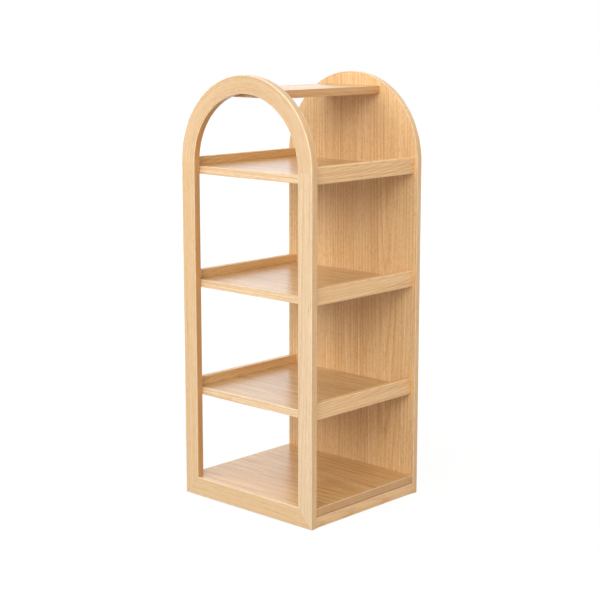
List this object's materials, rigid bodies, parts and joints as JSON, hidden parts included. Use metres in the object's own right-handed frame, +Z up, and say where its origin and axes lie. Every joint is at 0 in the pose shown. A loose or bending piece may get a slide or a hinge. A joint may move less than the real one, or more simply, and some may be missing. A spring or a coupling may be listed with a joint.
{
  "type": "arched bookcase tower",
  "caption": "Free-standing oak bookcase tower: open arched face frame in front, arch-topped solid back panel, fixed shelves with side lips between them and a narrow top shelf.",
  "frame": {"origin": "on the floor under the middle of the tower's outer box", "axes": "+Z up, +X to the right seen from the front, -Y towards the open front, +Y towards the solid back panel"},
  "size_m": [0.49, 0.45, 1.2],
  "materials": {
    "solid_oak": "clear satin lacquer on solid oak",
    "bent_oak": "clear satin lacquer on oak laminated to the curve",
    "oak_veneer": "clear satin lacquer on oak veneered board",
    "oak_edge_band": "clear satin lacquer on solid oak edging",
    "beech_dowel": "plain fluted beech",
    "pine_block": "unfinished softwood",
    "zinc_cam": "bare zinc casting",
    "steel_bolt": "zinc-plated steel",
    "nylon_glide": "matt nylon",
    "cover_film": "matt plastic in the colour of the wood"
  },
  "bodies": {
    "root": {"front_stile_left": "solid_oak", "front_stile_right": "solid_oak", "front_bottom_rail": "solid_oak", "front_arch": "bent_oak", "arch_loose_tenons": "beech_dowel", "mitre_loose_tenons": "beech_dowel", "back_panel": "oak_veneer", "panel_edge_band": "oak_edge_band", "top_shelf": "oak_veneer", "top_shelf_band_left": "oak_edge_band", "top_shelf_band_right": "oak_edge_band", "bottom_board": "oak_veneer", "bottom_board_band_left": "oak_edge_band", "bottom_board_band_right": "oak_edge_band", "base_rail_left": "solid_oak", "base_rail_right": "solid_oak", "base_corner_blocks": "pine_block", "glides": "nylon_glide", "glide_screws": "steel_bolt", "end_dowels": "beech_dowel", "lip_dowels": "beech_dowel", "base_rail_dowels": "beech_dowel", "cam_locks": "zinc_cam", "cam_bolts": "steel_bolt", "cam_covers": "cover_film", "lower_shelf_board": "oak_veneer", "lower_shelf_front_band": "oak_edge_band", "lower_lip_left": "solid_oak", "lower_lip_right": "solid_oak", "middle_shelf_board": "oak_veneer", "middle_shelf_front_band": "oak_edge_band", "middle_lip_left": "solid_oak", "middle_lip_right": "solid_oak", "upper_shelf_board": "oak_veneer", "upper_shelf_front_band": "oak_edge_band", "upper_lip_left": "solid_oak", "upper_lip_right": "solid_oak"}
  },
  "joints": []
}
